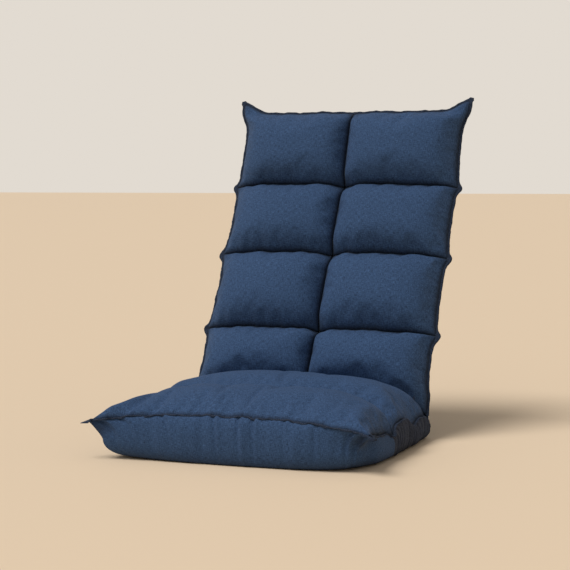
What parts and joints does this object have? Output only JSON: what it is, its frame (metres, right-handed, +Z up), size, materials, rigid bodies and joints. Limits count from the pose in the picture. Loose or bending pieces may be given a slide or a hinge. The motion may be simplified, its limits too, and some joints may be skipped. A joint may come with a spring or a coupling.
{
  "type": "reclining floor chair",
  "caption": "Legless folding floor chair with a padded seat, a pillowed back that reclines flat on ratchet hinges, and a tilting head section.",
  "frame": {"origin": "centre of the bounding box's footprint, on the floor under the chair", "axes": "+Z up, -Y towards the front of the seat, +X to the chair's right as seen from the front; the two sides mirror across X"},
  "size_m": [0.556, 0.748, 0.6676],
  "materials": {
    "linen_look_fabric": "matte",
    "seam_edging": "matte",
    "nonwoven_underside": "matte",
    "foam": "matte",
    "painted_steel": "satin",
    "zinc_steel": "satin"
  },
  "bodies": {
    "seat": {"seat_bottom_panel": "nonwoven_underside", "seat_lower_cover": "linen_look_fabric", "seat_foam_core": "foam", "seat_frame_tube": "painted_steel", "seat_cross_tube": "painted_steel", "seat_front_pad": "linen_look_fabric", "seat_rear_pad": "linen_look_fabric", "seat_flange": "seam_edging", "waist_rear_cover": "linen_look_fabric", "seat_gusset_left": "linen_look_fabric", "seat_gusset_right": "linen_look_fabric", "seat_rear_flange_left": "seam_edging", "seat_rear_flange_right": "seam_edging", "waist_hinge_housing_left": "zinc_steel", "waist_hinge_rivet_left": "zinc_steel", "waist_pawl_spring_left": "zinc_steel", "waist_hinge_housing_right": "zinc_steel", "waist_hinge_rivet_right": "zinc_steel", "waist_pawl_spring_right": "zinc_steel"},
    "back": {"back_rear_cover": "linen_look_fabric", "neck_rear_cover": "linen_look_fabric", "back_foam_core": "foam", "back_cross_tube_lower": "painted_steel", "back_cross_tube_upper": "painted_steel", "lumbar_pillow_left": "linen_look_fabric", "lumbar_pillow_right": "linen_look_fabric", "middle_pillow_left": "linen_look_fabric", "middle_pillow_right": "linen_look_fabric", "upper_pillow_left": "linen_look_fabric", "upper_pillow_right": "linen_look_fabric", "back_flange_left": "seam_edging", "back_flange_right": "seam_edging", "back_side_tube_left": "painted_steel", "back_side_tube_right": "painted_steel", "waist_hinge_gear_left": "zinc_steel", "waist_hinge_gear_right": "zinc_steel", "neck_hinge_housing_left": "zinc_steel", "neck_hinge_rivet_left": "zinc_steel", "neck_pawl_spring_left": "zinc_steel", "neck_hinge_housing_right": "zinc_steel", "neck_hinge_rivet_right": "zinc_steel", "neck_pawl_spring_right": "zinc_steel"},
    "head": {"head_rear_cover": "linen_look_fabric", "head_frame_tube": "painted_steel", "head_foam_core": "foam", "head_flange": "seam_edging", "head_pillow_left": "linen_look_fabric", "head_pillow_right": "linen_look_fabric", "neck_hinge_gear_left": "zinc_steel", "neck_hinge_gear_right": "zinc_steel"},
    "waist_pawl_left": {"waist_pawl_left": "zinc_steel"},
    "waist_pawl_right": {"waist_pawl_right": "zinc_steel"},
    "neck_pawl_left": {"neck_pawl_left": "zinc_steel"},
    "neck_pawl_right": {"neck_pawl_right": "zinc_steel"}
  },
  "joints": [
    {"name": "waist_recline", "type": "hinge", "parent": "seat", "child": "back", "pos_m": [0, 0.029, 0.045], "axis": [-1, 0, 0], "range_deg": [-55, 60], "deforming": ["seat_rear_pad", "lumbar_pillow_left", "lumbar_pillow_right", "seat_gusset_left", "seat_gusset_right", "seat_rear_flange_left", "seat_rear_flange_right", "waist_rear_cover"]},
    {"name": "neck_tilt", "type": "hinge", "parent": "back", "child": "head", "pos_m": [0, 0.279, 0.47801], "axis": [1, 0, 0], "range_deg": [-9, 60], "deforming": ["upper_pillow_left", "upper_pillow_right", "head_pillow_left", "head_pillow_right", "neck_rear_cover"]},
    {"name": "waist_pawl_lift_left", "type": "hinge", "parent": "seat", "child": "waist_pawl_left", "pos_m": [-0.205, 0.004, 0.051], "axis": [-1, 0, 0], "range_deg": [0, 10], "stiffness_Nm_per_rad": 0.02, "springref_deg": -5.73, "deforming": ["waist_pawl_spring_left"]},
    {"name": "waist_pawl_lift_right", "type": "hinge", "parent": "seat", "child": "waist_pawl_right", "pos_m": [0.205, 0.004, 0.051], "axis": [-1, 0, 0], "range_deg": [0, 10], "stiffness_Nm_per_rad": 0.02, "springref_deg": -5.73, "deforming": ["waist_pawl_spring_right"]},
    {"name": "neck_pawl_lift_left", "type": "hinge", "parent": "back", "child": "neck_pawl_left", "pos_m": [-0.205, 0.2613, 0.45936], "axis": [-1, 0, 0], "range_deg": [0, 10], "stiffness_Nm_per_rad": 0.02, "springref_deg": -5.73, "deforming": ["neck_pawl_spring_left"]},
    {"name": "neck_pawl_lift_right", "type": "hinge", "parent": "back", "child": "neck_pawl_right", "pos_m": [0.205, 0.2613, 0.45936], "axis": [-1, 0, 0], "range_deg": [0, 10], "stiffness_Nm_per_rad": 0.02, "springref_deg": -5.73, "deforming": ["neck_pawl_spring_right"]}
  ],
  "couplings": [
    {"joint": "waist_pawl_lift_right", "follows": "waist_pawl_lift_left", "ratio": 1},
    {"joint": "neck_pawl_lift_right", "follows": "neck_pawl_lift_left", "ratio": 1}
  ]
}
